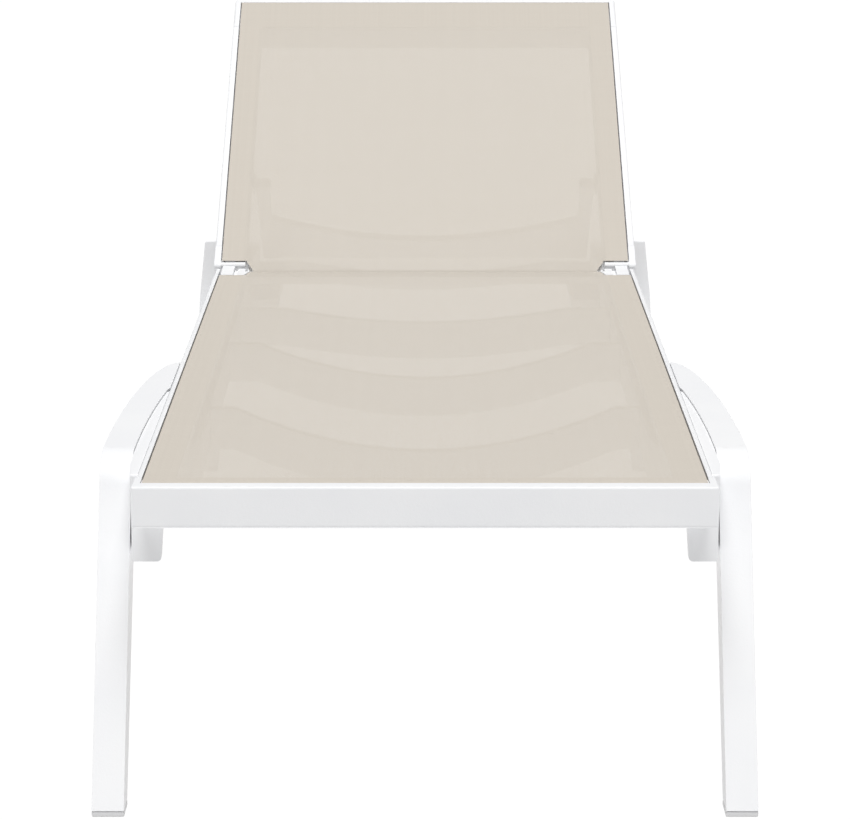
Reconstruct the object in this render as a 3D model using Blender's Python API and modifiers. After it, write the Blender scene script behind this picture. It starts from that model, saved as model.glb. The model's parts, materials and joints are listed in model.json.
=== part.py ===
"""A reclining sun lounger in moulded resin: a four-legged base, a backrest on two hinges, a prop
frame that drops into toothed racks, and two mesh slings held by spline rods.

Metres, +Z up. The foot end is at -Y and the head end at +Y. Positions in the base are measured from
the foot end and from the ground; the backrest and the prop have frames of their own on their axes.
"""

import math

import bmesh
import bpy
from mathutils import Matrix

# ---- driving dimensions -------------------------------------------------------------------------
GAP = 0.0003                     # between faces that touch
SEAM = 0.0004                    # between the bracket and the pieces on either side of it
SEAT_TOP = 0.374
HALF_WIDTH = 0.308               # seat frame, to the ends of its front bar
FRAME_FOOT, FRAME_TAPER = 0.3071, 0.0041 # outer face of the side members at the foot, and its loss per metre
RAIL_WIDTH = 0.032
RAIL_DEPTH = 0.046
RIM = 0.0062                     # strip of the frame left bare outside the sling
SLING_THICK = 0.0024
SLING_SEAT = 0.0030              # depth of the recess that the sling lies in
GROOVE_WIDTH, GROOVE_DEPTH = 0.0070, 0.0068  # spline groove, along the foot of the rim's inner wall
SPLINE_RADIUS = 0.0029

FRONT_BAR_WIDTH = 0.040
FRONT_RIM = 0.017
SEAT_END = 1.195                 # rear end of the side rails
BEAM_START, BEAM_END = 0.070, 1.655
BEAM_TOP = SEAT_TOP - RAIL_DEPTH
BEAM_BOTTOM = BEAM_TOP - 0.0545
BEAM_INNER = 0.265

HINGE_Y, HINGE_Z = 1.2042, 0.3774
RECLINE = math.radians(28)
BACK_LENGTH = 0.680              # from the hinge axis to the head end
BACK_HALF_WIDTH, BACK_SPREAD = 0.3053, 0.0033    # at the hinge axis, and the gain per metre
BACK_TOP, BACK_BOTTOM = 0.0045, -0.0395          # faces of the backrest above the hinge axis
BACK_TOP_BAR = 0.0775
LUG_INNER, LUG_OUTER = 0.2752, 0.2925
STUB_RADIUS, CRADLE_RADIUS, LUG_RADIUS = 0.0044, 0.0047, 0.0085
PIN_RADIUS, BORE_RADIUS = 0.004, 0.0043

PROP_S, PROP_H = 0.2525, -0.0455 # prop pivot in the backrest's frame: along it, and above its axis
PROP_LENGTH = 0.232
PROP_HALF_THICK = 0.006
PROP_ANGLE = math.radians(67)    # prop below the backrest
ARM_INNER, ARM_OUTER = 0.238, 0.2575

LEG_WIDTH = 0.035
LEG_SPLAY = 0.0056               # how far the front feet stand out from the shoulders
GLIDE_HEIGHT = 0.0075
FOOT_OUTER = 0.3612
FOOT_WIDTH = 0.0360
RACK_TOP = 0.300
SEAT_SLING_END = 1.1765

EDGE = 0.0025                    # usual rounding of a moulded edge

# The part's origin is midway along its length at rest, which ends at the backrest's lower top corner.
TOP_BAR_ROUNDING = 0.004
REAR_END = (
    HINGE_Y
    + (BACK_LENGTH - TOP_BAR_ROUNDING) * math.cos(RECLINE)
    - (BACK_BOTTOM + TOP_BAR_ROUNDING) * math.sin(RECLINE)
    + TOP_BAR_ROUNDING
)

# ---- scene --------------------------------------------------------------------------------------
for old in list(bpy.data.objects):
    bpy.data.objects.remove(old, do_unlink=True)

parts = bpy.data.collections.new("sun_lounger")
cutters = bpy.data.collections.new("cutters")
bpy.context.scene.collection.children.link(parts)
bpy.context.scene.collection.children.link(cutters)


def empty(name, location, parent=None, tilt=0.0):
    """A frame that pieces are placed in, turned by tilt about +X."""
    frame = bpy.data.objects.new(name, None)
    frame.location = location
    frame.rotation_euler.x = tilt
    frame.parent = parent
    parts.objects.link(frame)
    return frame


def material(name, colour, roughness, metallic=0.0):
    made = bpy.data.materials.new(name)
    made.use_nodes = True
    shader = made.node_tree.nodes["Principled BSDF"]
    shader.inputs["Base Color"].default_value = (*colour, 1.0)
    shader.inputs["Roughness"].default_value = roughness
    shader.inputs["Metallic"].default_value = metallic
    made.diffuse_color = (*colour, 1.0)
    return made


RESIN = ("white_resin", (0.84, 0.84, 0.85), 0.45)
MESH_FABRIC = ("taupe_mesh", (0.60, 0.55, 0.48), 0.80)
GLIDE = ("glide_rubber", (0.72, 0.72, 0.73), 0.60)
STEEL = ("stainless_steel", (0.62, 0.62, 0.63), 0.30, 1.0)
NYLON = ("spline_nylon", (0.30, 0.29, 0.28), 0.50)

root = empty("lounger", (0.0, -REAR_END / 2, 0.0))
base = empty("base", (0.0, 0.0, 0.0), root)
backrest = empty("backrest", (0.0, HINGE_Y, HINGE_Z), root, RECLINE)
prop = empty("prop", (0.0, PROP_S, PROP_H), backrest, -PROP_ANGLE)


# ---- modelling helpers --------------------------------------------------------------------------
def fillet(corners, steps=4):
    """A closed outline through corners (u, v, radius), each corner turned as an arc."""
    outline = []
    for i, (u, v, radius) in enumerate(corners):
        if radius == 0:
            outline.append((u, v))
            continue
        before, after = corners[i - 1], corners[(i + 1) % len(corners)]
        to_before = (before[0] - u, before[1] - v)
        to_after = (after[0] - u, after[1] - v)
        reach_b, reach_a = math.hypot(*to_before), math.hypot(*to_after)
        unit_b = (to_before[0] / reach_b, to_before[1] / reach_b)
        unit_a = (to_after[0] / reach_a, to_after[1] / reach_a)
        half = math.acos(max(-1.0, min(1.0, unit_b[0] * unit_a[0] + unit_b[1] * unit_a[1]))) / 2
        bisector = (unit_b[0] + unit_a[0], unit_b[1] + unit_a[1])
        length = math.hypot(*bisector)
        out = radius / math.sin(half)
        centre = (u + bisector[0] / length * out, v + bisector[1] / length * out)
        tangent = radius / math.tan(half)
        start = (u + unit_b[0] * tangent - centre[0], v + unit_b[1] * tangent - centre[1])
        end = (u + unit_a[0] * tangent - centre[0], v + unit_a[1] * tangent - centre[1])
        turn = math.atan2(start[0] * end[1] - start[1] * end[0], start[0] * end[0] + start[1] * end[1])
        for step in range(steps + 1):
            angle = turn * step / steps
            outline.append((
                centre[0] + start[0] * math.cos(angle) - start[1] * math.sin(angle),
                centre[1] + start[0] * math.sin(angle) + start[1] * math.cos(angle),
            ))
    return outline


# Each plane takes an outline's (u, v) and its depth w to the part's axes.
PLANES = {
    "plan": Matrix(((1, 0, 0, 0), (0, 1, 0, 0), (0, 0, 1, 0), (0, 0, 0, 1))),        # u=X, v=Y, w=Z
    "side": Matrix(((0, 0, 1, 0), (1, 0, 0, 0), (0, 1, 0, 0), (0, 0, 0, 1))),        # u=Y, v=Z, w=X
    "front": Matrix(((1, 0, 0, 0), (0, 0, 1, 0), (0, 1, 0, 0), (0, 0, 0, 1))),       # u=X, v=Z, w=Y
}


def slab_mesh(name, outline, low, high, plane):
    """A flat outline filled and given a depth from low to high, standing in the plane named."""
    curve = bpy.data.curves.new(name, "CURVE")
    curve.dimensions = "2D"
    curve.fill_mode = "BOTH"
    curve.extrude = (high - low) / 2
    spline = curve.splines.new("POLY")
    spline.points.add(len(outline) - 1)
    for point, (u, v) in zip(spline.points, outline):
        point.co = (u, v, 0.0, 1.0)
    spline.use_cyclic_u = True
    guide = bpy.data.objects.new(name + "_outline", curve)
    cutters.objects.link(guide)
    graph = bpy.context.evaluated_depsgraph_get()
    mesh = bpy.data.meshes.new_from_object(guide.evaluated_get(graph))
    bpy.data.objects.remove(guide, do_unlink=True)
    bpy.data.curves.remove(curve)
    work = bmesh.new()
    work.from_mesh(mesh)
    bmesh.ops.remove_doubles(work, verts=work.verts, dist=1e-5)
    bmesh.ops.dissolve_limit(work, angle_limit=math.radians(0.2), verts=work.verts, edges=work.edges)
    bmesh.ops.translate(work, verts=work.verts, vec=(0.0, 0.0, (low + high) / 2))
    bmesh.ops.transform(work, verts=work.verts, matrix=PLANES[plane])
    bmesh.ops.recalc_face_normals(work, faces=work.faces)
    work.to_mesh(mesh)
    work.free()
    mesh.name = name
    return mesh


def box_mesh(name, low, high):
    work = bmesh.new()
    bmesh.ops.create_cube(work, size=1.0)
    for vert in work.verts:
        for axis in range(3):
            vert.co[axis] = low[axis] if vert.co[axis] < 0 else high[axis]
    mesh = bpy.data.meshes.new(name)
    work.to_mesh(mesh)
    work.free()
    return mesh


def cylinder_mesh(name, centre, radius, half_length, segments=16):
    """A cylinder along X."""
    work = bmesh.new()
    bmesh.ops.create_cone(
        work, cap_ends=True, segments=segments, radius1=radius, radius2=radius, depth=2 * half_length
    )
    bmesh.ops.transform(work, verts=work.verts, matrix=Matrix.Rotation(math.pi / 2, 4, "Y"))
    bmesh.ops.translate(work, verts=work.verts, vec=centre)
    mesh = bpy.data.meshes.new(name)
    work.to_mesh(mesh)
    work.free()
    return mesh


def mirrored(side, low, high):
    """A span of X given for the right side, on the side asked for."""
    return (low, high) if side > 0 else (-high, -low)


def place(name, mesh, look, parent, location=(0.0, 0.0, 0.0)):
    """A finished sub-part in the scene, shaded smooth between its sharp edges."""
    made = bpy.data.objects.new(name, mesh)
    made.location = location
    made.parent = parent
    mesh.materials.clear()
    mesh.materials.append(bpy.data.materials.get(look[0]) or material(*look))
    mesh.shade_smooth()
    mesh.set_sharp_from_angle(angle=math.radians(35))
    parts.objects.link(made)
    return made


def cutter(name, mesh, parent):
    made = bpy.data.objects.new(name, mesh)
    made.parent = parent
    made.hide_render = True
    made.display_type = "WIRE"
    cutters.objects.link(made)
    return made


def cut(target, tool, operation="DIFFERENCE"):
    modifier = target.modifiers.new(tool.name, "BOOLEAN")
    modifier.operation = operation
    modifier.object = tool
    modifier.solver = "EXACT"


def round_edges(target, width=EDGE, segments=2):
    modifier = target.modifiers.new("rounding", "BEVEL")
    modifier.width = width
    modifier.segments = segments
    modifier.limit_method = "ANGLE"
    modifier.angle_limit = math.radians(40)
    modifier.use_clamp_overlap = True


def turned(name, profile, look, parent, location, side, steps=16):
    """A round piece: a profile of (radius, height) from its top down, turned and laid along X."""
    work = bmesh.new()
    points = [work.verts.new((radius, 0.0, height)) for radius, height in profile]
    for first, second in zip(points, points[1:]):
        work.edges.new((first, second))
    mesh = bpy.data.meshes.new(name)
    work.to_mesh(mesh)
    work.free()
    made = place(name, mesh, look, parent, location)
    made.rotation_euler.y = math.pi / 2 * side
    screw = made.modifiers.new("turning", "SCREW")
    screw.steps = steps
    screw.render_steps = steps
    screw.use_merge_vertices = True
    screw.merge_threshold = 0.00001
    screw.use_smooth_shade = True
    return made


SIDES = (("left", -1), ("right", 1))


def frame_face(y):
    """Outer face of the seat frame's side members, which draw in towards the head."""
    return FRAME_FOOT - FRAME_TAPER * y


def back_face(s):
    """Outer face of the backrest's rails, which spread a little towards the head."""
    return BACK_HALF_WIDTH + BACK_SPREAD * s


def slanted(mesh, side, face, nominal):
    """Moves a member made straight at the nominal half width, so that it follows the face given."""
    for vert in mesh.vertices:
        vert.co.x += side * (face(vert.co.y) - nominal)
    return mesh


# ---- seat frame ---------------------------------------------------------------------------------
def rail_section(outer, inner, top, bottom, rim, seat, side, flange=None):
    """Cross-section of a rail: a bare rim, the sling's recess and the spline groove inside it."""
    floor = top - seat
    wall = outer - rim
    corners = [
        (outer, bottom, 0.004), (outer, top, EDGE), (wall, top, 0.0004), (wall, floor - GROOVE_DEPTH, 0),
        (wall - GROOVE_WIDTH, floor - GROOVE_DEPTH, 0), (wall - GROOVE_WIDTH, floor, 0),
        (inner, floor, 0.001),
    ]
    if flange:
        reach, thick = flange
        corners += [(inner, bottom + thick, 0.002), (inner - reach, bottom + thick, EDGE),
                    (inner - reach, bottom, EDGE)]
    else:
        corners += [(inner, bottom, 0.003)]
    return fillet([(side * u, v, radius) for u, v, radius in corners], steps=3)


for word, side in SIDES:
    section = rail_section(
        HALF_WIDTH, HALF_WIDTH - RAIL_WIDTH, SEAT_TOP, BEAM_TOP + GAP, RIM, SLING_SEAT, side
    )
    mesh = slab_mesh(f"side_rail_{word}", section, FRONT_BAR_WIDTH + GAP, SEAT_END, "front")
    place(mesh.name, slanted(mesh, side, frame_face, HALF_WIDTH), RESIN, base)

floor = SEAT_TOP - SLING_SEAT
front_section = fillet([
    (0.0, BEAM_TOP + GAP, 0.004), (0.0, SEAT_TOP, EDGE), (FRONT_RIM, SEAT_TOP, 0.0004),
    (FRONT_RIM, floor - GROOVE_DEPTH, 0), (FRONT_RIM + GROOVE_WIDTH, floor - GROOVE_DEPTH, 0),
    (FRONT_RIM + GROOVE_WIDTH, floor, 0), (FRONT_BAR_WIDTH, floor, 0.001),
    (FRONT_BAR_WIDTH, BEAM_TOP + GAP, 0.003),
], steps=4)
mesh = slab_mesh("front_bar", front_section, -HALF_WIDTH, HALF_WIDTH, "side")
front_bar = place(mesh.name, mesh, RESIN, base)
for word, side in SIDES:
    # the bare rim goes on to the corner, so the sling's recess stops short of the bar's ends
    low, high = mirrored(side, frame_face(FRONT_BAR_WIDTH) - RIM, HALF_WIDTH)
    rim = box_mesh(f"front_rim_{word}", (low, 0.010, SEAT_TOP - 0.020),
                   (high, FRONT_BAR_WIDTH, SEAT_TOP))
    cut(front_bar, cutter(rim.name, rim, base), "UNION")

REAR_BAR_START, REAR_BAR_END = 1.1505, 1.1760
rear_bar_half = frame_face(SEAT_END) - RAIL_WIDTH - GAP
rear_bar = box_mesh(
    "seat_rear_bar", (-rear_bar_half, REAR_BAR_START, floor - 0.0102),
    (rear_bar_half, REAR_BAR_END, floor - GAP),
)
rear_bar = place(rear_bar.name, rear_bar, RESIN, base)
for word, side in SIDES:
    # the bar's ends stand level with the rails in the corners that the sling leaves open
    corner_plan = [
        (0.2592, REAR_BAR_START), (rear_bar_half, REAR_BAR_START), (rear_bar_half, SEAT_END),
        (0.2590, SEAT_END), (0.2590, REAR_BAR_END), (0.2526, REAR_BAR_END),
    ]
    corner = slab_mesh(
        f"rear_bar_corner_{word}", [(side * u, v) for u, v in corner_plan], floor - 0.0102, SEAT_TOP, "plan"
    )
    cut(rear_bar, cutter(corner.name, corner, base), "UNION")
round_edges(rear_bar, 0.0012)

# ---- lower side beams and cross members ---------------------------------------------------------
LEG_BOLTS = {"front": ((0.143, 0.314), (0.135, 0.290)), "rear": ((1.449, 0.314), (1.451, 0.290))}
BOLT_SEAT = {"front": 0.2960, "rear": 0.2705}    # under the sunk heads: clear of the rack and prop
HEAD_RADIUS, HEAD_HEIGHT = 0.0065, 0.0038

for word, side in SIDES:
    plan = [
        (frame_face(BEAM_START), BEAM_START), (frame_face(BEAM_END), BEAM_END), (BEAM_INNER, BEAM_END),
        (BEAM_INNER, 0.394), (0.2965, 0.205), (0.2875, BEAM_START),
    ]
    mesh = slab_mesh(
        f"side_beam_{word}", [(side * u, v) for u, v in plan], BEAM_BOTTOM, BEAM_TOP - GAP, "plan"
    )
    beam = place(mesh.name, mesh, RESIN, base)
    round_edges(beam)
    for end, spots in LEG_BOLTS.items():
        for number, (y, z) in enumerate(spots, 1):
            bore = cylinder_mesh(f"bolt_bore_{end}_{word}_{number}", (side * 0.30, y, z), BORE_RADIUS, 0.045)
            cut(beam, cutter(bore.name, bore, base))
            sink = cylinder_mesh(
                f"bolt_sink_{end}_{word}_{number}", (side * (BOLT_SEAT[end] - 0.012), y, z),
                HEAD_RADIUS + 0.001, 0.012,
            )
            cut(beam, cutter(sink.name, sink, base))


def dipped_beam(name, y, thick, top, bottom, dip, half_span):
    """A cross member whose middle hangs lower, level at its ends."""
    reach = BEAM_INNER - GAP
    steps = 12

    def edge(level):
        points = [(-reach, level)]
        for step in range(steps + 1):
            u = -half_span + 2 * half_span * step / steps
            points.append((u, level - dip * (1 - (u / half_span) ** 2)))
        return points + [(reach, level)]

    outline = edge(top) + edge(bottom)[::-1]
    made_mesh = slab_mesh(name, outline, y - thick / 2, y + thick / 2, "front")
    return place(name, made_mesh, RESIN, base)


dipped_beam("cross_member_foot", 0.544, 0.016, BEAM_TOP - 0.001, BEAM_BOTTOM + 0.002, 0.055, 0.236)
dipped_beam("cross_member_middle", 0.909, 0.016, BEAM_TOP - 0.001, BEAM_BOTTOM + 0.002, 0.048, 0.225)
dipped_beam("cross_member_hinge", 1.139, 0.016, BEAM_TOP - 0.001, BEAM_BOTTOM + 0.002, 0.020, 0.199)
dipped_beam("cross_member_head", 1.636, 0.016, RACK_TOP, BEAM_BOTTOM + 0.002, 0.020, 0.199)

# ---- racks that the prop drops into -------------------------------------------------------------
TEETH = 5
TOOTH_PITCH = 0.042
TOOTH_DEPTH = 0.010
for word, side in SIDES:
    start, end = 1.384, 1.6275
    outline = [(start, BEAM_BOTTOM + 0.002), (start, RACK_TOP - TOOTH_DEPTH)]
    for tooth in range(TEETH):
        crest = start + 0.020 + tooth * TOOTH_PITCH
        outline += [(crest, RACK_TOP), (crest + 0.010, RACK_TOP),
                    (crest + 0.014, RACK_TOP - TOOTH_DEPTH), (crest + 0.030, RACK_TOP - TOOTH_DEPTH)]
    outline += [(end, RACK_TOP - TOOTH_DEPTH), (end, BEAM_BOTTOM + 0.002)]
    low, high = mirrored(side, 0.223, BEAM_INNER - GAP)
    mesh = slab_mesh(f"prop_rack_{word}", outline, low, high, "side")
    place(mesh.name, mesh, RESIN, base)

# ---- front legs with their shoulders ------------------------------------------------------------
SHOULDER_OUTER = 0.3556
ARC_START, ARC_LENGTH = 0.164, 0.425
ARC_END = ARC_START + ARC_LENGTH
SHOULDER_MEETS = 0.454           # where the inner side of the shoulder reaches the frame
ARC_RISE = SHOULDER_OUTER - frame_face(ARC_END)


def shoulder_edge(y):
    """Outer face of the shoulder in plan: straight, then a quarter ellipse into the rail."""
    run = min(max((y - ARC_START) / ARC_LENGTH, 0.0), 1.0)
    return SHOULDER_OUTER - ARC_RISE * (1 - math.sqrt(1 - run * run))


def contact(y):
    """Where a piece beside the seat frame stops short of it."""
    return frame_face(y) + GAP


def shoulder_plan():
    outer = [(SHOULDER_OUTER, -0.02)]
    inner = [(SHOULDER_OUTER - LEG_WIDTH, -0.02)]
    steps = 20
    for step in range(steps + 1):
        y = ARC_START + ARC_LENGTH * math.sin(math.pi / 2 * step / steps)
        outer.append((max(shoulder_edge(y), contact(y)), y))
        inset = shoulder_edge(y) - LEG_WIDTH
        if inset > contact(y) + SEAM:
            inner.append((inset, y))
    inner.append((contact(SHOULDER_MEETS), SHOULDER_MEETS))
    return outer[:-1] + [(contact(ARC_END), ARC_END)] + inner[::-1]


def leaned(mesh, side):
    """Splays a leg: its foot stands LEG_SPLAY further out than its top."""
    for vert in mesh.vertices:
        vert.co.x += side * LEG_SPLAY * (1 - vert.co.z / SEAT_TOP)
    return mesh


FOOT_Y = {"front": (0.010, 0.048), "rear": (1.4543, 1.4940)}
leg_side = fillet([
    (FOOT_Y["front"][0], GLIDE_HEIGHT, 0), (0.134, SEAT_TOP, 0.046), (0.597, SEAT_TOP, 0.006),
    (0.597, SEAT_TOP - 0.036, 0.010), (0.300, BEAM_TOP + 0.002, 0.2),
    (0.172, BEAM_TOP + 0.001, 0.026), (FOOT_Y["front"][1], GLIDE_HEIGHT, 0),
], steps=8)

for word, side in SIDES:
    low, high = mirrored(side, 0.300, 0.365)
    mesh = leaned(slab_mesh(f"leg_front_{word}", leg_side, low, high, "side"), side)
    leg = place(mesh.name, mesh, RESIN, base)
    plan = slab_mesh(
        f"shoulder_plan_{word}", [(side * u, v) for u, v in shoulder_plan()], -0.01, 0.40, "plan"
    )
    cut(leg, cutter(plan.name, leaned(plan, side), base), "INTERSECT")
    round_edges(leg, 0.003, 3)
    for number, (y, z) in enumerate(LEG_BOLTS["front"], 1):
        bore = cylinder_mesh(
            f"leg_bore_front_{word}_{number}", (side * 0.3275, y, z), BORE_RADIUS, 0.013
        )
        cut(leg, cutter(bore.name, bore, base))

# The bracket fills the space between the shoulder and the rail, and carries the leg's bolts. Its
# front turns inwards under the front bar and closes the beam's open end.
WEB_TOP, WEB_END, WEB_STEPS = SEAT_TOP - 0.0022, 0.438, 10
BRACKET_FRONT, BRACKET_BOTTOM = BEAM_START - 0.010, BEAM_BOTTOM + 0.001
bracket_side = fillet([
    (BRACKET_FRONT, BRACKET_BOTTOM, 0), (BRACKET_FRONT, WEB_TOP, 0.003), (0.470, WEB_TOP, 0),
    (0.470, 0.334, 0), (0.210, 0.332, 0.012), (0.180, BRACKET_BOTTOM, 0.006),
], steps=3)
CLOSER_OUTER = 0.3130
closer_front = fillet([
    (0.2805, BEAM_TOP - GAP, 0.001), (0.2843, BRACKET_BOTTOM, 0.0048), (CLOSER_OUTER, BRACKET_BOTTOM, 0),
    (CLOSER_OUTER, BEAM_TOP - GAP, 0),
], steps=5)
for word, side in SIDES:
    bracket_plan = [(contact(0.043), 0.043), (0.3135, 0.043), (0.3198, 0.100)]
    for step in range(WEB_STEPS + 1):
        y = ARC_START + (WEB_END - ARC_START) * step / WEB_STEPS
        bracket_plan.append((max(shoulder_edge(y) - LEG_WIDTH - SEAM, contact(y) + SEAM), y))
    bracket_plan.append((contact(WEB_END + 0.004), WEB_END + 0.004))
    low, high = mirrored(side, 0.300, 0.330)
    mesh = slab_mesh(f"leg_bracket_{word}", bracket_side, low, high, "side")
    bracket = place(mesh.name, mesh, RESIN, base)
    plan = slab_mesh(
        f"bracket_plan_{word}", [(side * u, v) for u, v in bracket_plan], 0.20, 0.40, "plan"
    )
    cut(bracket, cutter(plan.name, plan, base), "INTERSECT")
    closer = slab_mesh(
        f"beam_closer_{word}", [(side * u, v) for u, v in closer_front],
        BRACKET_FRONT, BEAM_START - GAP, "front",
    )
    cut(bracket, cutter(closer.name, closer, base), "UNION")
    for number, (y, z) in enumerate(LEG_BOLTS["front"], 1):
        bore = cylinder_mesh(f"bracket_bore_{word}_{number}", (side * 0.315, y, z), BORE_RADIUS, 0.020)
        cut(bracket, cutter(bore.name, bore, base))

# ---- rear legs ----------------------------------------------------------------------------------
REAR_LEG_TOP, REAR_LEG_BACK = 0.3763, 0.3600     # the top slopes down from its front edge
REAR_CONTACT = contact(1.40)     # the frame is widest at the leg's front edge
REAR_CLEAR = 0.3082              # above the frame, where the backrest lies beside the leg when flat
rear_front = fillet([
    (FOOT_OUTER - FOOT_WIDTH - 0.001, GLIDE_HEIGHT, 0), (0.3050, 0.268, 0), (REAR_CONTACT, 0.300, 0),
    (REAR_CONTACT, BEAM_TOP, 0.002), (REAR_CLEAR, BEAM_TOP + 0.006, 0.002),
    (REAR_CLEAR, REAR_LEG_TOP, 0.002), (0.3340, REAR_LEG_TOP, 0.0035), (0.3445, 0.285, 0.30),
    (FOOT_OUTER - 0.0004, GLIDE_HEIGHT, 0),
], steps=5)
rear_side = fillet([
    (FOOT_Y["rear"][0], GLIDE_HEIGHT, 0), (1.414, REAR_LEG_TOP, 0.003), (1.474, REAR_LEG_BACK, 0.010),
    (FOOT_Y["rear"][1], GLIDE_HEIGHT, 0),
], steps=5)
for word, side in SIDES:
    low, high = mirrored(side, 0.300, 0.370)
    mesh = slab_mesh(f"leg_rear_{word}", rear_side, low, high, "side")
    leg = place(mesh.name, mesh, RESIN, base)
    face = slab_mesh(
        f"rear_leg_front_{word}", [(side * u, v) for u, v in rear_front], 1.38, 1.52, "front"
    )
    cut(leg, cutter(face.name, face, base), "INTERSECT")
    round_edges(leg, 0.003, 3)
    for number, (y, z) in enumerate(LEG_BOLTS["rear"], 1):
        bore = cylinder_mesh(f"leg_bore_rear_{word}_{number}", (side * 0.303, y, z), BORE_RADIUS, 0.024)
        cut(leg, cutter(bore.name, bore, base))

# ---- feet and leg bolts -------------------------------------------------------------------------
FOOT_INSET = 0.0006
for end, (front, rear) in FOOT_Y.items():
    for word, side in SIDES:
        low, high = mirrored(side, FOOT_OUTER - FOOT_WIDTH + FOOT_INSET, FOOT_OUTER)
        mesh = box_mesh(
            f"foot_glide_{end}_{word}", (low, front + FOOT_INSET, 0.0),
            (high, rear - FOOT_INSET, GLIDE_HEIGHT - GAP)
        )
        round_edges(place(mesh.name, mesh, GLIDE, base), 0.0018)

BOLT_REACH = {"front": 0.0415, "rear": 0.0520}
for end, spots in LEG_BOLTS.items():
    for word, side in SIDES:
        for number, (y, z) in enumerate(spots, 1):
            seat = BOLT_SEAT[end]
            profile = [
                (0.0, BOLT_REACH[end]), (PIN_RADIUS - 0.001, BOLT_REACH[end]),
                (PIN_RADIUS, BOLT_REACH[end] - 0.001), (PIN_RADIUS, -GAP), (HEAD_RADIUS, -GAP),
                (HEAD_RADIUS, -0.6 * HEAD_HEIGHT), (0.7 * HEAD_RADIUS, -HEAD_HEIGHT), (0.0, -HEAD_HEIGHT),
            ]
            turned(f"leg_bolt_{end}_{word}_{number}", profile, STEEL, base, (side * seat, y, z), side, 12)

# ---- hinge lugs ---------------------------------------------------------------------------------
LUG_START = 1.1505               # just behind the edge of the seat sling's notch


def arc(radius, first, last, steps):
    """Points round the hinge axis in side view, between two angles in degrees."""
    angles = [math.radians(first + (last - first) * step / steps) for step in range(steps + 1)]
    return [(HINGE_Y + radius * math.cos(a), HINGE_Z + radius * math.sin(a)) for a in angles]


# Each lug lies on the end of its side rail and rises to an open cradle, which holds the backrest's stub.
lug_outline = [(LUG_START, floor + GAP), (LUG_START, SEAT_TOP)]
lug_outline += arc(CRADLE_RADIUS, 180, 360, 12)
lug_outline += arc(LUG_RADIUS, 360, 270, 8)
lug_outline += [(SEAT_END + GAP, HINGE_Z - LUG_RADIUS), (SEAT_END + GAP, floor + GAP)]
for word, side in SIDES:
    low, high = mirrored(side, LUG_INNER, LUG_OUTER)
    mesh = slab_mesh(f"hinge_lug_{word}", lug_outline, low, high, "side")
    place(mesh.name, mesh, RESIN, base)

# ---- backrest frame -----------------------------------------------------------------------------
HINGE_END = 0.040                # the rails' separate hinge ends stop here
HINGE_END_INNER, STUB_INNER = 0.2500, 0.2603
NOTCH_S = 0.0050                 # the sling's corners are cut away below here
TOP_BAR_S = BACK_LENGTH - BACK_TOP_BAR
BACK_RIM, HEAD_RIM = 0.0092, 0.0090
FLANGE = (0.0165, 0.008)
BACK_RAIL_INNER = 0.277
CHEEK_INNER = 0.2956
CHEEK_RADIUS = 0.0060

# The cheek is the part of the rail's end that reaches down to the axis, outside the lug.
cheek_outline = fillet([
    (HINGE_END - GAP, BACK_BOTTOM, 0), (HINGE_END - GAP, BACK_TOP, 0), (-CHEEK_RADIUS, BACK_TOP, 0.005),
    (-CHEEK_RADIUS, -CHEEK_RADIUS, 0.005), (0.010, -CHEEK_RADIUS - 0.003, 0.006),
    (0.016, BACK_BOTTOM, 0.006),
], steps=4)

# A tab inside the stub's free end reaches down to the bottom bar, under the sling.
BOTTOM_BAR_RADIUS = 0.0072
BOTTOM_BAR_S, BOTTOM_BAR_H = -0.0155, -0.0055
TAB_THICK = 0.0070
tab_end = BOTTOM_BAR_S - 0.0065
tab_top = -0.0045
tab_outline = fillet([
    (0.012, -0.028, 0), (0.012, tab_top, 0), (tab_end, tab_top, 0.006),
    (tab_end, BOTTOM_BAR_H - 0.0065, 0.006), (0.002, -0.018, 0.006),
], steps=4)

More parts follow.
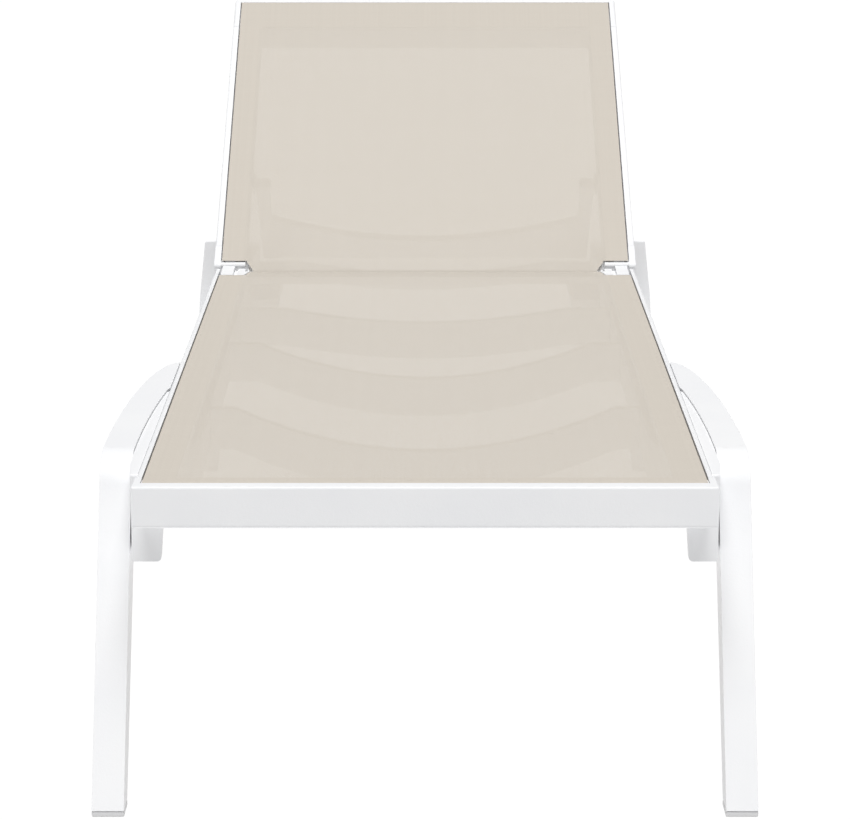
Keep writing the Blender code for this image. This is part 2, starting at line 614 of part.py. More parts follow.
for word, side in SIDES:
    section = rail_section(
        BACK_HALF_WIDTH, BACK_RAIL_INNER, BACK_TOP, BACK_BOTTOM, BACK_RIM, SLING_SEAT, side, FLANGE
    )
    mesh = slab_mesh(f"backrest_rail_{word}", section, HINGE_END, TOP_BAR_S - GAP, "front")
    place(mesh.name, slanted(mesh, side, back_face, BACK_HALF_WIDTH), RESIN, backrest)

    low, high = mirrored(side, HINGE_END_INNER, BACK_HALF_WIDTH)
    mesh = slab_mesh(f"backrest_hinge_end_{word}", cheek_outline, low, high, "side")
    hinge_end = place(mesh.name, mesh, RESIN, backrest)
    # inside the cheek the end stops behind the axis, and further back still beside the lug
    low, high = mirrored(side, 0.240, CHEEK_INNER)
    clear = box_mesh(f"stub_clearance_{word}", (low, -0.020, -0.060), (high, 0.0058, 0.040))
    low, high = mirrored(side, LUG_INNER - 0.0008, CHEEK_INNER)
    slot = box_mesh(f"lug_slot_{word}", (low, -0.020, -0.060), (high, LUG_RADIUS + 0.002, 0.040))
    low, high = mirrored(side, 0.240, BACK_HALF_WIDTH - BACK_RIM)
    recess = box_mesh(
        f"hinge_end_recess_{word}", (low, NOTCH_S, BACK_TOP - SLING_SEAT), (high, 0.060, 0.040)
    )
    low, high = mirrored(side, BACK_HALF_WIDTH - BACK_RIM - GROOVE_WIDTH, BACK_HALF_WIDTH - BACK_RIM)
    groove = box_mesh(
        f"hinge_end_groove_{word}", (low, NOTCH_S + 0.004, BACK_TOP - SLING_SEAT - GROOVE_DEPTH),
        (high, 0.060, 0.040),
    )
    for tool in (clear, slot, recess, groove):
        cut(hinge_end, cutter(tool.name, tool, backrest))
    low, high = mirrored(side, STUB_INNER, CHEEK_INNER + 0.004)
    stub = cylinder_mesh(
        f"hinge_stub_{word}", ((low + high) / 2, 0.0, 0.0), STUB_RADIUS, (high - low) / 2, segments=20
    )
    low, high = mirrored(side, HINGE_END_INNER, HINGE_END_INNER + TAB_THICK)
    tab = slab_mesh(f"bottom_bar_tab_{word}", tab_outline, low, high, "side")
    for tool in (stub, tab):
        cut(hinge_end, cutter(tool.name, tool, backrest), "UNION")

top_bar_half = back_face(BACK_LENGTH - BACK_TOP_BAR / 2)
top_bar = box_mesh(
    "backrest_top_bar", (-top_bar_half, TOP_BAR_S, BACK_BOTTOM), (top_bar_half, BACK_LENGTH, BACK_TOP)
)
top_bar = place(top_bar.name, top_bar, RESIN, backrest)
round_edges(top_bar, TOP_BAR_ROUNDING, 3)
recess = box_mesh(
    "top_bar_recess", (BACK_RIM - top_bar_half, TOP_BAR_S - 0.01, BACK_TOP - SLING_SEAT),
    (top_bar_half - BACK_RIM, BACK_LENGTH - HEAD_RIM, BACK_TOP + 0.02),
)
groove_end = BACK_LENGTH - HEAD_RIM
groove_floor = BACK_TOP - SLING_SEAT - GROOVE_DEPTH
groove = box_mesh(
    "top_bar_groove", (BACK_RIM - top_bar_half, groove_end - GROOVE_WIDTH, groove_floor),
    (top_bar_half - BACK_RIM, groove_end, BACK_TOP),
)
for tool in (recess, groove):
    cut(top_bar, cutter(tool.name, tool, backrest))
for word, side in SIDES:
    low, high = mirrored(side, top_bar_half - BACK_RIM - GROOVE_WIDTH, top_bar_half - BACK_RIM)
    groove = box_mesh(
        f"top_bar_groove_{word}", (low, TOP_BAR_S - 0.01, groove_floor),
        (high, groove_end - GROOVE_WIDTH / 2, BACK_TOP),
    )
    cut(top_bar, cutter(groove.name, groove, backrest))

BOTTOM_BAR_HALF = HINGE_END_INNER - GAP
turned(
    "backrest_bottom_bar",
    [(0.0, BOTTOM_BAR_HALF), (BOTTOM_BAR_RADIUS, BOTTOM_BAR_HALF),
     (BOTTOM_BAR_RADIUS, -BOTTOM_BAR_HALF), (0.0, -BOTTOM_BAR_HALF)],
    RESIN, backrest, (0.0, BOTTOM_BAR_S, BOTTOM_BAR_H), 1, 24,
)

# ---- prop pivots, arms and crossbar -------------------------------------------------------------
BLOCK_REACH = 0.014
block_outline = fillet([
    (PROP_S - 0.020, BACK_BOTTOM - GAP, 0), (PROP_S - BLOCK_REACH, PROP_H - 0.011, 0.009),
    (PROP_S + BLOCK_REACH, PROP_H - 0.011, 0.009), (PROP_S + 0.020, BACK_BOTTOM - GAP, 0),
], steps=5)
for word, side in SIDES:
    low, high = mirrored(side, ARM_OUTER + GAP, BEAM_INNER - 0.0005)
    mesh = slab_mesh(f"prop_pivot_block_{word}", block_outline, low, high, "side")
    block = place(mesh.name, mesh, RESIN, backrest)
    bore = cylinder_mesh(f"block_bore_{word}", (side * 0.262, PROP_S, PROP_H), BORE_RADIUS, 0.012)
    cut(block, cutter(bore.name, bore, backrest))
    turned(
        f"prop_pivot_pin_{word}",
        [(0.0, 0.0264), (PIN_RADIUS, 0.0264), (PIN_RADIUS, -GAP), (0.0075, -GAP), (0.0075, -0.002),
         (0.006, -0.003), (0.0, -0.003)],
        STEEL, backrest, (side * ARM_INNER, PROP_S, PROP_H), side,
    )

ARM_BOSS = 0.0095
arm_outline = fillet([
    (-ARM_BOSS, -ARM_BOSS, 0.009), (0.018, -ARM_BOSS, 0.02), (0.035, -PROP_HALF_THICK, 0.02),
    (PROP_LENGTH, -PROP_HALF_THICK, 0.0055), (PROP_LENGTH, PROP_HALF_THICK, 0.0055),
    (0.035, PROP_HALF_THICK, 0.02), (0.018, ARM_BOSS, 0.02), (-ARM_BOSS, ARM_BOSS, 0.009),
], steps=4)
for word, side in SIDES:
    low, high = mirrored(side, ARM_INNER, ARM_OUTER)
    mesh = slab_mesh(f"prop_arm_{word}", arm_outline, low, high, "side")
    arm = place(mesh.name, mesh, RESIN, prop)
    bore = cylinder_mesh(f"arm_bore_{word}", (side * 0.248, 0.0, 0.0), BORE_RADIUS, 0.020)
    cut(arm, cutter(bore.name, bore, prop))

CROSSBAR_START, CROSSBAR_DIP = 0.105, 0.067
crossbar_steps = 16
crossbar_outline = []
for step in range(crossbar_steps + 1):
    u = (ARM_INNER - GAP) * (2 * step / crossbar_steps - 1)
    crossbar_outline.append((u, CROSSBAR_START + CROSSBAR_DIP * (1 - (u / ARM_INNER) ** 2)))
crossbar_outline += [(ARM_INNER - GAP, PROP_LENGTH - 0.004), (-(ARM_INNER - GAP), PROP_LENGTH - 0.004)]
mesh = slab_mesh("prop_crossbar", crossbar_outline, -0.005, 0.005, "plan")
place(mesh.name, mesh, RESIN, prop)

# ---- slings and the splines that hold them ------------------------------------------------------
SLING_CLEAR = 0.0009             # line left open between the sling and the bare rim


def seat_cloth_edge(y):
    return frame_face(y) - RIM - SLING_CLEAR


def back_cloth_edge(s):
    return back_face(s) - BACK_RIM - SLING_CLEAR


def both_sides(right):
    """An outline that is given for the right side, from its foot end up, and mirrored to the left."""
    return right + [(-u, v, radius) for u, v, radius in reversed(right)]


seat_sling_bottom = floor + GAP
NOTCH_Y, NOTCH_INNER = 1.1490, 0.2586
SLING_FOOT = FRONT_RIM + SLING_CLEAR
seat_sling_outline = fillet(both_sides([
    (seat_cloth_edge(SLING_FOOT), SLING_FOOT, 0.001), (seat_cloth_edge(NOTCH_Y), NOTCH_Y, 0),
    (NOTCH_INNER, NOTCH_Y, 0.004), (0.2515, SEAT_SLING_END, 0),
]), steps=4)
mesh = slab_mesh(
    "seat_sling", seat_sling_outline, seat_sling_bottom, seat_sling_bottom + SLING_THICK, "plan"
)
place(mesh.name, mesh, MESH_FABRIC, base)

back_sling_bottom = BACK_TOP - SLING_SEAT + GAP
SLING_HEAD = BACK_LENGTH - HEAD_RIM - SLING_CLEAR
back_sling_outline = fillet(both_sides([
    (0.2490, BOTTOM_BAR_S, 0), (0.2600, NOTCH_S, 0), (back_cloth_edge(NOTCH_S), NOTCH_S, 0),
    (back_cloth_edge(SLING_HEAD), SLING_HEAD, 0.001),
]), steps=3)
mesh = slab_mesh(
    "backrest_sling", back_sling_outline, back_sling_bottom, back_sling_bottom + SLING_THICK, "plan"
)
place(mesh.name, mesh, MESH_FABRIC, backrest)


def spline(name, centre, half_length, parent, heading):
    """A nylon rod lying in its groove, turned from +X to its heading."""
    made_mesh = cylinder_mesh(name, (0.0, 0.0, 0.0), SPLINE_RADIUS, half_length, segments=10)
    rod = place(name, made_mesh, NYLON, parent, centre)
    rod.rotation_euler.z = heading
    return rod


rod_drop = SLING_SEAT + GROOVE_DEPTH - SPLINE_RADIUS - GAP
groove_inset = RIM + GROOVE_WIDTH / 2
back_groove_inset = BACK_RIM + GROOVE_WIDTH / 2
SEAT_ROD_MIDDLE, SEAT_ROD_HALF = 0.596, 0.550
BACK_ROD_MIDDLE, BACK_ROD_HALF = 0.3215, 0.2765
for word, side in SIDES:
    spline(
        f"seat_spline_{word}",
        (side * (frame_face(SEAT_ROD_MIDDLE) - groove_inset), SEAT_ROD_MIDDLE, SEAT_TOP - rod_drop),
        SEAT_ROD_HALF, base, math.pi / 2 + side * math.atan(FRAME_TAPER),
    )
    spline(
        f"backrest_spline_{word}",
        (side * (back_face(BACK_ROD_MIDDLE) - back_groove_inset), BACK_ROD_MIDDLE, BACK_TOP - rod_drop),
        BACK_ROD_HALF, backrest, math.pi / 2 - side * math.atan(BACK_SPREAD),
    )
foot_groove, head_groove = FRONT_RIM + GROOVE_WIDTH / 2, groove_end - GROOVE_WIDTH / 2
spline("seat_spline_foot", (0.0, foot_groove, SEAT_TOP - rod_drop), 0.2830, base, 0.0)
spline("backrest_spline_head", (0.0, head_groove, BACK_TOP - rod_drop), 0.2825, backrest, 0.0)
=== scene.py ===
import json
import math

import bmesh
import bpy
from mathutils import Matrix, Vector


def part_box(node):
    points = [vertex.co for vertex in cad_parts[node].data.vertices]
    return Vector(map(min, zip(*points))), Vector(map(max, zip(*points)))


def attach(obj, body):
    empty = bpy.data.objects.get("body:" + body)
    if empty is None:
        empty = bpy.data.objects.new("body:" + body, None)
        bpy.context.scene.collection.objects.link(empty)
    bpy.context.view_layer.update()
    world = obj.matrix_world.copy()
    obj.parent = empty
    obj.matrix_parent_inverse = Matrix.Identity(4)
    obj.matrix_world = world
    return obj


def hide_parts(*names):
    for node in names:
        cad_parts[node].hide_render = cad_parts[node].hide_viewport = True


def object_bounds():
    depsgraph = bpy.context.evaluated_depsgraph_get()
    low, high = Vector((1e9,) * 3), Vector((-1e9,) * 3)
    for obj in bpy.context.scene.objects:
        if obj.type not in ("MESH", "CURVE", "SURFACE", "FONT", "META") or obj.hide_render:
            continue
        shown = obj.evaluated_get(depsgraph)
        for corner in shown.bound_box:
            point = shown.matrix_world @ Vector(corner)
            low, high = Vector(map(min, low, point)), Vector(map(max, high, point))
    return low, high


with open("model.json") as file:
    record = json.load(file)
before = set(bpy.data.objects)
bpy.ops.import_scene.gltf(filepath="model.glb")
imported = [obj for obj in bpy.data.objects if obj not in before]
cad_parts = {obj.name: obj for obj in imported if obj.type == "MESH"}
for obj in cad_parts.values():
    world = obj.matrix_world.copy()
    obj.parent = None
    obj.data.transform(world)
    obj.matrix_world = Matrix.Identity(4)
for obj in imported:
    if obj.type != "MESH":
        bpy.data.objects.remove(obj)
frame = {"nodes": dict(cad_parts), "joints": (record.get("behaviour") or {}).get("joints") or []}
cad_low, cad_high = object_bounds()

nodes = frame["nodes"]


# ---- places read from the frame -----------------------------------------------------------------
FOOT_END = cad_low.y
hinge = next(joint for joint in frame["joints"] if joint["name"] == "backrest_recline")
HINGE = Vector(hinge["pos_m"])
RECLINE = math.radians(-hinge["range_deg"][0])    # the backrest lies flat at the lower limit

# ---- camera, lights and floor -------------------------------------------------------------------
EYE_BACK, EYE_HEIGHT = 2.952, 1.183               # in front of the foot end, and above the floor
EYE_PITCH = math.radians(13.81)
LENS, SENSOR_WIDTH = 123.5, 36.0                  # in millimetres
FILL_LIGHT = 0.20
FLOOR_REACH = 30.0                                # from its middle to each side
FLOOR_TONE, FLOOR_GLOW = 0.03, 1.0                # nearly black, so that its own even glow is what shows
WHITE = (1.0, 1.0, 1.0, 1.0)


def make_camera():
    data = bpy.data.cameras.new("camera")
    data.lens = LENS
    data.sensor_width = SENSOR_WIDTH
    made = bpy.data.objects.new("camera", data)
    made.location = (0.0, FOOT_END - EYE_BACK, EYE_HEIGHT)
    made.rotation_euler.x = math.pi / 2 - EYE_PITCH
    bpy.context.scene.collection.objects.link(made)
    bpy.context.scene.camera = made


def soft_light(name, elevation, strength, angle):
    """A far, broad light in front of and above the foot end."""
    data = bpy.data.lights.new(name, "SUN")
    data.energy = strength
    data.angle = math.radians(angle)
    made = bpy.data.objects.new(name, data)
    made.rotation_euler.x = math.radians(90 - elevation)
    bpy.context.scene.collection.objects.link(made)


# ---- node trees ---------------------------------------------------------------------------------
MIX_FIRST, MIX_SECOND, MIX_COLOUR = 6, 7, 2       # the Mix node's sockets for colours


class Nodes:
    """A node tree written as calls: `add` gives the new node, and the others give its output."""

    def __init__(self, tree):
        self.tree = tree

    def add(self, kind, **values):
        node = self.tree.nodes.new(kind)
        for name, value in values.items():
            setattr(node, name, value)
        return node

    def feed(self, socket, value):
        if hasattr(value, "is_linked"):
            self.tree.links.new(value, socket)
        else:
            socket.default_value = value

    def math(self, operation, *values):
        node = self.add("ShaderNodeMath", operation=operation)
        for socket, value in zip(node.inputs, values):
            self.feed(socket, value)
        return node.outputs[0]

    def noise(self, vector, scale, detail, roughness=0.5):
        node = self.add("ShaderNodeTexNoise")
        self.feed(node.inputs["Vector"], vector)
        node.inputs["Scale"].default_value = scale
        node.inputs["Detail"].default_value = detail
        node.inputs["Roughness"].default_value = roughness
        return node.outputs["Fac"]

    def span(self, value, source, target):
        """`value` with the range `source` stretched to the range `target`."""
        node = self.add("ShaderNodeMapRange")
        self.feed(node.inputs["Value"], value)
        for name, number in zip(("From Min", "From Max", "To Min", "To Max"), (*source, *target)):
            node.inputs[name].default_value = number
        return node.outputs["Result"]

    def mix(self, factor, first, second):
        node = self.add("ShaderNodeMix", data_type="RGBA")
        self.feed(node.inputs["Factor"], factor)
        self.feed(node.inputs[MIX_FIRST], first)
        self.feed(node.inputs[MIX_SECOND], second)
        return node.outputs[MIX_COLOUR]

    def bump(self, height, distance, strength, normal=None):
        node = self.add("ShaderNodeBump")
        self.feed(node.inputs["Height"], height)
        node.inputs["Distance"].default_value = distance
        node.inputs["Strength"].default_value = strength
        if normal is not None:
            self.feed(node.inputs["Normal"], normal)
        return node.outputs[0]


def new_material(name):
    """A new material, its node tree and its shader."""
    made = bpy.data.materials.new(name)
    made.use_nodes = True
    shader = made.node_tree.nodes["Principled BSDF"]
    return made, Nodes(made.node_tree), shader


def make_world():
    world = bpy.data.worlds.new("studio")
    world.use_nodes = True
    background = world.node_tree.nodes["Background"]
    background.inputs["Color"].default_value = WHITE
    background.inputs["Strength"].default_value = FILL_LIGHT
    bpy.context.scene.world = world
    bpy.context.scene.view_settings.view_transform = "Standard"


def make_floor():
    """Pale paper with an even glow of its own, so that it shows no shadow."""
    work = bmesh.new()
    bmesh.ops.create_grid(work, x_segments=1, y_segments=1, size=FLOOR_REACH)
    mesh = bpy.data.meshes.new("floor")
    work.to_mesh(mesh)
    work.free()
    made, tree, shader = new_material("floor_paper")
    tree.feed(shader.inputs["Base Color"], (FLOOR_TONE, FLOOR_TONE, FLOOR_TONE, 1.0))
    shader.inputs["Roughness"].default_value = 0.9
    shader.inputs["Specular IOR Level"].default_value = 0.0
    shader.inputs["Emission Color"].default_value = WHITE
    shader.inputs["Emission Strength"].default_value = FLOOR_GLOW
    mesh.materials.append(made)
    floor = bpy.data.objects.new("floor", mesh)
    bpy.context.scene.collection.objects.link(floor)


make_camera()
make_world()
make_floor()
soft_light("light_key", elevation=73.2, strength=2.93, angle=28.0)


# ---- materials ----------------------------------------------------------------------------------
def resin_material():
    """Satin white moulded resin: a fine grain in the surface, and faint cloudiness."""
    made, tree, shader = new_material("white_resin_satin")
    place = tree.add("ShaderNodeTexCoord").outputs["Object"]
    cloud = tree.noise(place, scale=9.0, detail=3.0)
    grain = tree.noise(place, scale=1600.0, detail=2.0, roughness=0.6)
    pebble = tree.noise(place, scale=420.0, detail=1.0)
    shade = tree.span(cloud, (0.35, 0.65), (0.0, 1.0))
    tree.feed(
        shader.inputs["Base Color"],
        tree.mix(shade, (0.875, 0.880, 0.895, 1), (0.900, 0.903, 0.912, 1)),
    )
    tree.feed(shader.inputs["Roughness"], tree.span(grain, (0.3, 0.7), (0.48, 0.62)))
    soft = tree.bump(pebble, distance=0.00025, strength=0.35)
    tree.feed(shader.inputs["Normal"], tree.bump(grain, distance=0.00012, strength=0.45, normal=soft))
    shader.inputs["Specular IOR Level"].default_value = 0.20
    return made


# Hems are doubled cloth, so they are not see-through: distances along the cloth, in metres.
HEM_INNER = 0.2640
FOOT_HEM = 0.0200
HEAD_HEM_FROM = 0.6180
BACK_CLOTH_FROM = 10.0           # the backrest's cloth is measured from here, to tell it from the seat's
YARN_PITCH = 0.0013
YARN_ROUNDING = 1.9              # at 2 a yarn would round off to nothing at its edges
ACROSS_SEED, ALONG_SEED = 0.5, 900.5              # so that the two sets of yarns vary apart


def mesh_material(name, painted_light_gain, yarn_half):
    """Coated mesh cloth: round yarns over and under one another, with a small hole at each corner.

    `yarn_half` is half a yarn's width in pitches, and the gain makes the colour paler above 1: painted
    light, which sets one copy of the cloth brighter than another.
    """
    made, tree, shader = new_material(name)
    uv = tree.add("ShaderNodeSeparateXYZ")
    tree.feed(uv.inputs[0], tree.add("ShaderNodeUVMap", uv_map="cloth").outputs[0])
    across = tree.math("DIVIDE", uv.outputs[0], YARN_PITCH)
    along = tree.math("DIVIDE", uv.outputs[1], YARN_PITCH)

    def yarn(side, other):
        """A yarn's number, how far a point is from its middle, and its height as it rises and dips."""
        cell = tree.math("FLOOR", side)
        off = tree.math("ABSOLUTE", tree.math("SUBTRACT", tree.math("FRACT", side), 0.5))
        rounding = tree.math("POWER", tree.math("MULTIPLY", off, YARN_ROUNDING), 2.0)
        crown = tree.math("SQRT", tree.math("SUBTRACT", 1.0, rounding))
        phase = tree.math("MULTIPLY", tree.math("ADD", other, cell), math.pi)
        rise = tree.math("MULTIPLY", tree.math("SINE", phase), 0.5)
        return cell, off, tree.math("ADD", crown, rise)

    cell_u, off_u, height_u = yarn(across, along)
    one_further = tree.math("ADD", across, 1.0)   # where the first set is up, the second is down
    cell_v, off_v, height_v = yarn(along, one_further)
    height = tree.math("MAXIMUM", height_u, height_v)
    gap_u = tree.math("GREATER_THAN", off_u, yarn_half)
    gap_v = tree.math("GREATER_THAN", off_v, yarn_half)
    side_hem = tree.math("GREATER_THAN", tree.math("ABSOLUTE", uv.outputs[0]), HEM_INNER)
    foot_hem = tree.math("LESS_THAN", uv.outputs[1], FOOT_HEM)
    head_hem = tree.math("GREATER_THAN", uv.outputs[1], BACK_CLOTH_FROM + HEAD_HEM_FROM)
    hem = tree.math("MAXIMUM", side_hem, tree.math("MAXIMUM", foot_hem, head_hem))
    hole = tree.math("MULTIPLY", tree.math("MULTIPLY", gap_u, gap_v), tree.math("SUBTRACT", 1.0, hem))
    tree.feed(shader.inputs["Alpha"], tree.math("SUBTRACT", 1.0, hole))

    def yarn_tone(cell, seed):
        node = tree.add("ShaderNodeTexWhiteNoise", noise_dimensions="1D")
        tree.feed(node.inputs["W"], tree.math("ADD", cell, seed))
        return node.outputs["Value"]

    both_tones = tree.math("ADD", yarn_tone(cell_u, ACROSS_SEED), yarn_tone(cell_v, ALONG_SEED))
    heather = tree.math("MULTIPLY", both_tones, 0.5)
    raised = tree.span(height, (0.2, 1.4), (0.0, 1.0))

    # the dye's colour times the gain, which paints light onto one copy of the cloth
    def dye_and_painted_light(red, green, blue):
        return (red * painted_light_gain, green * painted_light_gain, blue * painted_light_gain, 1.0)

    # painted shade: each yarn is darker where it dips under the other set and lighter on its crown
    dark = tree.mix(heather, dye_and_painted_light(0.498, 0.457, 0.400), dye_and_painted_light(0.520, 0.478, 0.419))
    light = tree.mix(heather, dye_and_painted_light(0.636, 0.587, 0.521), dye_and_painted_light(0.658, 0.609, 0.541))
    tree.feed(shader.inputs["Base Color"], tree.mix(raised, dark, light))
    tree.feed(shader.inputs["Normal"], tree.bump(height, distance=0.00022, strength=0.25))
    shader.inputs["Roughness"].default_value = 0.80
    shader.inputs["Specular IOR Level"].default_value = 0.08
    return made


def steel_material():
    """Stainless steel with fine turning marks."""
    made, tree, shader = new_material("stainless_turned")
    place = tree.add("ShaderNodeTexCoord").outputs["Object"]
    fine = tree.noise(place, scale=2600.0, detail=2.0)
    tree.feed(shader.inputs["Base Color"], tree.mix(fine, (0.56, 0.56, 0.57, 1), (0.68, 0.68, 0.69, 1)))
    tree.feed(shader.inputs["Roughness"], tree.span(fine, (0.3, 0.7), (0.24, 0.40)))
    tree.feed(shader.inputs["Normal"], tree.bump(fine, distance=0.00005, strength=0.4))
    shader.inputs["Metallic"].default_value = 1.0
    return made


def glide_material():
    """Light grey polymer, a little scuffed where it meets the ground."""
    made, tree, shader = new_material("glide_polymer")
    place = tree.add("ShaderNodeTexCoord").outputs["Object"]
    scuff = tree.noise(place, scale=260.0, detail=4.0, roughness=0.65)
    height = tree.add("ShaderNodeSeparateXYZ")
    tree.feed(height.inputs[0], place)
    ground = tree.span(height.outputs[2], (0.0, 0.003), (1.0, 0.0))
    worn = tree.math("MULTIPLY", ground, tree.span(scuff, (0.45, 0.6), (0.0, 0.6)))
    tree.feed(shader.inputs["Base Color"], tree.mix(worn, (0.72, 0.72, 0.73, 1), (0.58, 0.57, 0.56, 1)))
    tree.feed(shader.inputs["Roughness"], tree.span(scuff, (0.3, 0.7), (0.45, 0.65)))
    tree.feed(shader.inputs["Normal"], tree.bump(scuff, distance=0.0002, strength=0.5))
    return made


def nylon_material():
    """Extruded grey nylon with drawing lines."""
    made, tree, shader = new_material("spline_nylon_rod")
    place = tree.add("ShaderNodeTexCoord").outputs["Object"]
    lines = tree.noise(place, scale=1200.0, detail=2.0)
    tree.feed(shader.inputs["Base Color"], tree.mix(lines, (0.26, 0.25, 0.24, 1), (0.34, 0.33, 0.32, 1)))
    tree.feed(shader.inputs["Roughness"], tree.span(lines, (0.3, 0.7), (0.42, 0.58)))
    tree.feed(shader.inputs["Normal"], tree.bump(lines, distance=0.0001, strength=0.4))
    return made


RESIN = resin_material()
# the seat's cloth is stretched a little more open than the backrest's, and painted light makes it paler: the
# backrest's copy of the same fabric is painted a shade darker
SEAT_CLOTH = mesh_material("taupe_mesh_seat", painted_light_gain=1.004, yarn_half=0.362)
BACK_CLOTH = mesh_material("taupe_mesh_backrest", painted_light_gain=0.970, yarn_half=0.383)
FINISH = {
    "white_resin": RESIN,
    "mesh_fabric": SEAT_CLOTH,
    "stainless_steel": steel_material(),
    "glide_plastic": glide_material(),
    "spline_nylon": nylon_material(),
}


# ---- the CAD pieces that stay -------------------------------------------------------------------
SAME_PLACE = 0.00001             # points nearer than this are one point
SHARP_ANGLE = math.radians(32)


def dress(node):
    """A CAD piece with its detailed material, welded and shaded smooth between its sharp edges."""
    piece = nodes[node]
    mesh = piece.data
    finish = FINISH[mesh.materials[0].name.split(".")[0]]
    mesh.materials.clear()
    mesh.materials.append(finish)
    if mesh.attributes.get("custom_normal"):
        mesh.attributes.remove(mesh.attributes["custom_normal"])
    mesh.shade_smooth()
    weld = piece.modifiers.new("weld", "WELD")
    weld.merge_threshold = SAME_PLACE
    split = piece.modifiers.new("sharp", "EDGE_SPLIT")
    split.split_angle = SHARP_ANGLE
    split.use_edge_sharp = False
    piece.modifiers.new("flats", "WEIGHTED_NORMAL")


for name in nodes:
    dress(name)


# ---- slings -------------------------------------------------------------------------------------
ROLL, ROLL_DROP, ROLL_CELLS = 0.0010, 0.0034, 5   # the turned edge, and its drop into its gap
STRIP_CELLS, MARGIN_CELLS = 44, 6                 # across half the notched strip, and beside it
CLOTH_RISE = 0.0002              # of the cloth over the CAD sling's face
CLOTH_SHORT = 0.0006             # of the cloth's outer edges, inside the CAD sling's


def spread(start, end, count):
    """`count` equal steps from start to end, as their count + 1 places."""
    return [start + (end - start) * i / count for i in range(count + 1)]


def edge_roll(radius, drop):
    """A sheet's edge as (outward, down) steps: it turns down, then drops into its gap."""
    turn = [
        (radius * math.sin(angle), radius * (1 - math.cos(angle)))
        for angle in spread(0.0, math.pi / 2, ROLL_CELLS)
    ]
    return turn[1:] + [(radius, drop)]


def half_columns(half, notch):
    """Columns of one half of the cloth: (distance along it, x, fall at the rolled edge)."""
    inner = half - ROLL
    columns = [(x, x, 0.0) for x in spread(0.0, notch, STRIP_CELLS)]
    columns += [(x, x, 0.0) for x in spread(notch, inner, MARGIN_CELLS)[1:]]
    for out, down in edge_roll(ROLL, ROLL_DROP):
        along, x, fall = columns[-1]
        columns.append((along + math.hypot(inner + out - x, down - fall), inner + out, down))
    return columns


def slack(place, start, end):
    """How far a stretched cloth sags, as a share: 0 at its two ends and 1 midway."""
    return math.sin(math.pi * min(max((place - start) / (end - start), 0.0), 1.0))


def sling_sheet(name, finish, half, notch, stations, from_v=0.0):
    """A cloth from its stations, each (distance along, half width, notched, point(x, fall, bow)).

    The widest station is as wide as `half`. A notched station keeps the columns inside `notch` only,
    and its half width is that of the notched strip. `bow` is 1 along the middle and 0 at the edges.
    """
    right = half_columns(half, notch)
    columns = [(-u, -x, fall) for u, x, fall in reversed(right[1:])] + right
    work = bmesh.new()
    layer = work.loops.layers.uv.new("cloth")
    grid = []
    for _, width, notched, point in stations:
        stretch = width / (notch if notched else half)
        row = []
        for _, x, fall in columns:
            kept = not notched or abs(x) < notch + SAME_PLACE
            bow = max(0.0, 1 - (x / half) ** 2)
            row.append(work.verts.new(point(x * stretch, fall, bow)) if kept else None)
        grid.append(row)
    for i in range(len(grid) - 1):
        for j in range(len(columns) - 1):
            corners = ((i, j), (i, j + 1), (i + 1, j + 1), (i + 1, j))
            if any(grid[a][b] is None for a, b in corners):
                continue
            face = work.faces.new([grid[a][b] for a, b in corners])
            face.smooth = True
            for loop, (a, b) in zip(face.loops, corners):
                loop[layer].uv = (columns[b][0], from_v + stations[a][0])
    for vert in [vert for vert in work.verts if not vert.link_faces]:
        work.verts.remove(vert)
    work.normal_update()
    mesh = bpy.data.meshes.new(name)
    work.to_mesh(mesh)
    work.free()
    mesh.materials.append(finish)
    made = bpy.data.objects.new(name, mesh)
    bpy.context.scene.collection.objects.link(made)
    return made


SEAT_TAPER = 0.0041              # loss of the seat sling's half width per metre, towards the head
SEAT_NOTCH = 0.0275              # length of its cut-away rear corners
SEAT_NOTCH_HALF, SEAT_REAR_HALF = 0.2586, 0.2515
REAR_ROLL, REAR_ROLL_DROP = 0.0025, 0.0085        # where it turns down over the rear bar
SEAT_SAG = 0.0035
SEAT_CELLS, SEAT_NOTCH_CELLS = 104, 5             # along its length


def seat_sling():
    cad_lo, cad_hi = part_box("seat_sling")
    top = cad_hi.z + CLOTH_RISE
    half, front, rear = cad_hi.x - CLOTH_SHORT, cad_lo.y + CLOTH_SHORT, cad_hi.y

    def seat_half(y):
        return half - SEAT_TAPER * (y - front)

    def station(along, y, down, width, notched):
        sag = SEAT_SAG * slack(y, front, rear)
        return (along, width, notched,
                lambda x, fall, bow: Vector((x, y, top - max(fall, down) - sag * bow)))

    start = front + ROLL
    stations = [
        station(-(out + down), start - out, down, seat_half(front), False)
        for out, down in reversed(edge_roll(ROLL, ROLL_DROP))
    ]
    notch_y = rear - SEAT_NOTCH
    stations += [
        station(y - start, y, 0.0, seat_half(y), False) for y in spread(start, notch_y, SEAT_CELLS)
    ]
    for y in spread(notch_y, rear - REAR_ROLL, SEAT_NOTCH_CELLS)[1:]:
        share = (y - notch_y) / SEAT_NOTCH
        width = SEAT_NOTCH_HALF + (SEAT_REAR_HALF - SEAT_NOTCH_HALF) * share
        stations.append(station(y - start, y, 0.0, width, True))
    for out, down in edge_roll(REAR_ROLL, REAR_ROLL_DROP):
        y = rear - REAR_ROLL + out
        stations.append(station(y - start + down, y, down, SEAT_REAR_HALF, True))
    cloth = sling_sheet("seat_sling_cloth", SEAT_CLOTH, half, SEAT_NOTCH_HALF, stations)
    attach(cloth, "base")
    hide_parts("seat_sling")


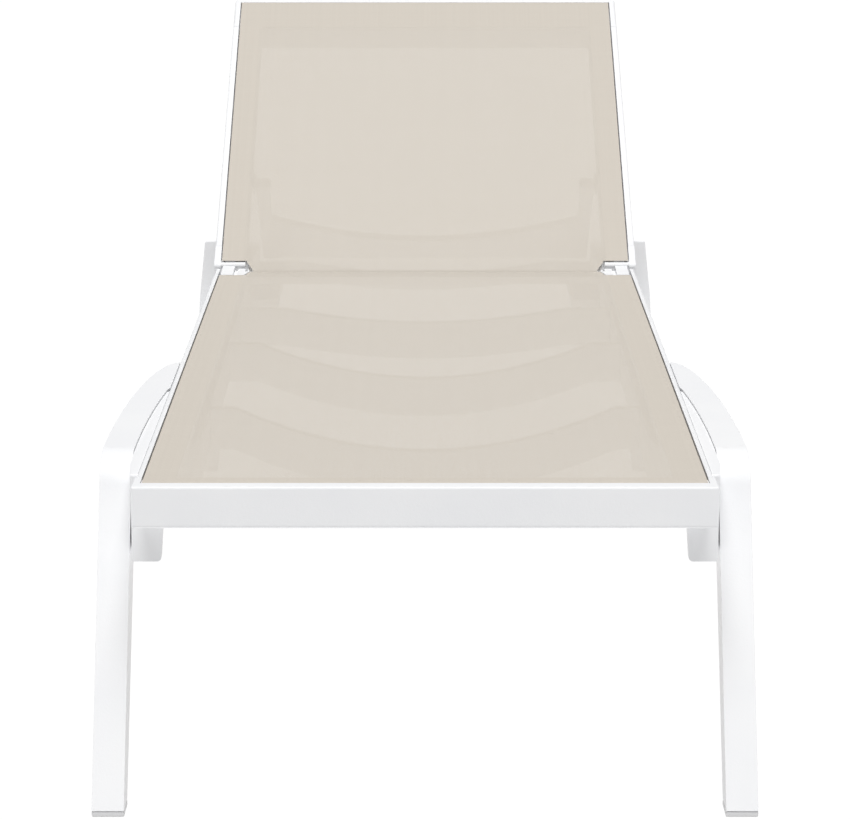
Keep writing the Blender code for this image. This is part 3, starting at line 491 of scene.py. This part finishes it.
# In the backrest's own frame: s along it from the hinge axis, h above the axis.
BACK_SPREAD = 0.0033             # gain of the backrest sling's half width per metre, towards the head
BACK_NOTCH_S, BACK_NOTCH_HALF, BACK_FOOT_HALF = 0.0050, 0.2600, 0.2490
BACK_CLOTH_H = 0.0042            # the CAD sling's face
BAR_S, BAR_H = -0.0155, -0.0055  # bottom bar, which the cloth wraps round
WRAP_ANGLE = math.radians(205)
BACK_SAG = 0.0030
BACK_CELLS, BACK_NOTCH_CELLS, WRAP_CELLS = 64, 5, 26


def back_frame(x, s, h):
    """A place on the backrest, in the shared frame at rest."""
    cos, sin = math.cos(RECLINE), math.sin(RECLINE)
    return Vector((x, HINGE.y + s * cos - h * sin, HINGE.z + s * sin + h * cos))


def back_sling():
    cad_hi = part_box("backrest_sling")[1]
    half = cad_hi.x - CLOTH_SHORT
    top = BACK_CLOTH_H + CLOTH_RISE
    head = ((cad_hi.y - HINGE.y) + top * math.sin(RECLINE)) / math.cos(RECLINE) - CLOTH_SHORT
    wrap = top - BAR_H

    def back_half(s):
        return half - BACK_SPREAD * (head - s)

    def station(along, s, h, down, width, notched):
        sag = BACK_SAG * slack(s, BAR_S, head) if h == top else 0.0
        return (along, width, notched,
                lambda x, fall, bow: back_frame(x, s, h - max(fall, down) - sag * bow))

    stations = []
    for angle in spread(-WRAP_ANGLE, 0.0, WRAP_CELLS):
        s, h = BAR_S + wrap * math.sin(angle), BAR_H + wrap * math.cos(angle)
        stations.append(station(wrap * angle, s, h if angle else top, 0.0, BACK_FOOT_HALF, True))
    for s in spread(BAR_S, BACK_NOTCH_S, BACK_NOTCH_CELLS)[1:-1]:
        share = (s - BAR_S) / (BACK_NOTCH_S - BAR_S)
        width = BACK_FOOT_HALF + (BACK_NOTCH_HALF - BACK_FOOT_HALF) * share
        stations.append(station(s - BAR_S, s, top, 0.0, width, True))
    stations += [
        station(s - BAR_S, s, top, 0.0, back_half(s), False)
        for s in spread(BACK_NOTCH_S, head - ROLL, BACK_CELLS)
    ]
    for out, down in edge_roll(ROLL, ROLL_DROP):
        s = head - ROLL + out
        stations.append(station(s - BAR_S + down, s, top, down, back_half(s), False))
    cloth = sling_sheet("backrest_sling_cloth", BACK_CLOTH, half, BACK_NOTCH_HALF, stations, BACK_CLOTH_FROM)
    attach(cloth, "backrest")
    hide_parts("backrest_sling")


seat_sling()
back_sling()
